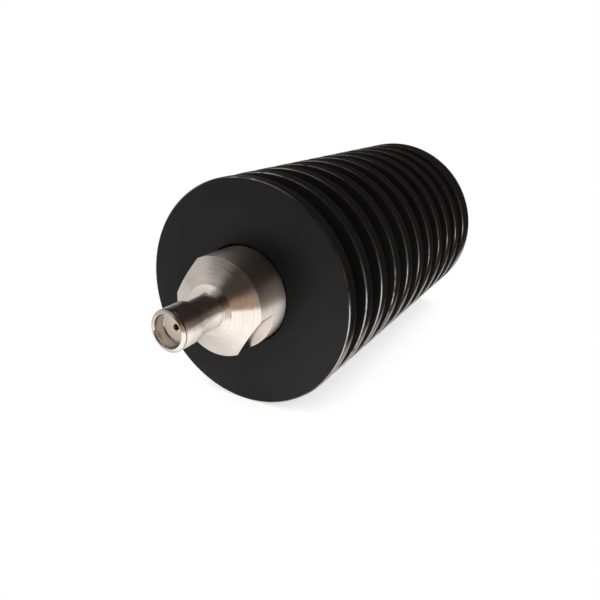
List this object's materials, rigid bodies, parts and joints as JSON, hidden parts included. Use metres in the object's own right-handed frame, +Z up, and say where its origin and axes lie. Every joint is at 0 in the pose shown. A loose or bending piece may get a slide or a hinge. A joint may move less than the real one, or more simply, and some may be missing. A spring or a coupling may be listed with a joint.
{
  "type": "coaxial attenuator",
  "caption": "In-line coaxial attenuator: round finned heat sink on a resistive card, coned end shells, coaxial jack at one end and a plug with a turning hex nut at the other.",
  "frame": {"origin": "on the axis, in the jack's mating plane, where its dielectric ends", "axes": "+Y along the axis from the jack to the plug, +Z up, +X to the right seen from the jack"},
  "size_m": [0.038, 0.1027, 0.038],
  "materials": {
    "black_anodised": "satin black anodised",
    "turned_steel": "fine turned",
    "nut_steel": "satin",
    "white_dielectric": "matt",
    "gold_plate": "gold plated",
    "bead_plastic": "matt",
    "plated_brass": "plated",
    "black_rubber": "matt",
    "plated_aluminium": "plated",
    "screw_steel": "plain",
    "card_ceramic": "fired ceramic",
    "gold_film": "printed and fired",
    "resistor_film": "printed and fired",
    "spring_steel": "plain",
    "gasket_rubber": "matt"
  },
  "bodies": {
    "housing": {"heat_sink": "black_anodised", "jack_shell": "turned_steel", "plug_shell": "turned_steel", "jack_dielectric": "white_dielectric", "plug_dielectric": "white_dielectric", "jack_contact": "gold_plate", "plug_contact": "gold_plate", "jack_launch_pin": "gold_plate", "plug_launch_pin": "gold_plate", "jack_bead": "bead_plastic", "plug_bead": "bead_plastic", "jack_bushing": "plated_brass", "plug_bushing": "plated_brass", "jack_o_ring": "black_rubber", "plug_o_ring": "black_rubber", "carrier_base": "plated_aluminium", "carrier_cover": "plated_aluminium", "carrier_screws": "screw_steel", "substrate": "card_ceramic", "conductor_film": "gold_film", "resistor_film": "resistor_film", "snap_ring": "spring_steel", "plug_gasket": "gasket_rubber"},
    "nut": {"coupling_nut": "nut_steel"}
  },
  "joints": [
    {"name": "nut_spin", "type": "hinge", "parent": "housing", "child": "nut", "pos_m": [0, 0.0961, 0], "axis": [0, 1, 0], "continuous": true}
  ]
}
